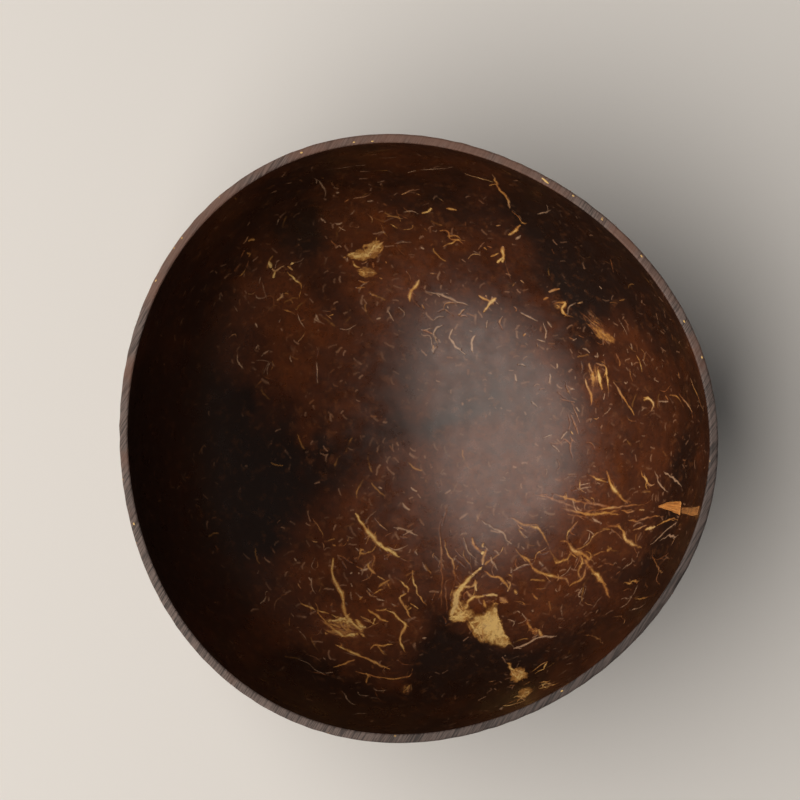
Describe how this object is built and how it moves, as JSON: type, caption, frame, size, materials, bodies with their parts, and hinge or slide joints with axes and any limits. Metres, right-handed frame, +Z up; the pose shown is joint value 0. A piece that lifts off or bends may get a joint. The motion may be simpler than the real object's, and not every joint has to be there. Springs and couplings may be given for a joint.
{
  "type": "coconut shell bowl",
  "caption": "Round open bowl made from half a polished coconut shell, with pale fibre strands in its dark inner face and a flat sanded foot to stand on.",
  "frame": {"origin": "middle of the flat sanded foot, on the table", "axes": "+Z up out of the bowl; +X to the right and +Y to the top of the picture, which looks straight down"},
  "size_m": [0.141, 0.1433, 0.064],
  "materials": {
    "shell": "polished satin",
    "fibre": "satin",
    "pith": "satin",
    "husk": "matt fibrous"
  },
  "bodies": {
    "root": {"shell": "shell", "lower_left_strands": "fibre", "seam_strands": "fibre", "lower_right_strands": "fibre", "husk_strands": "fibre", "right_strands": "fibre", "upper_strands": "fibre", "pale_patches": "pith", "husk_chip": "husk"}
  },
  "joints": []
}
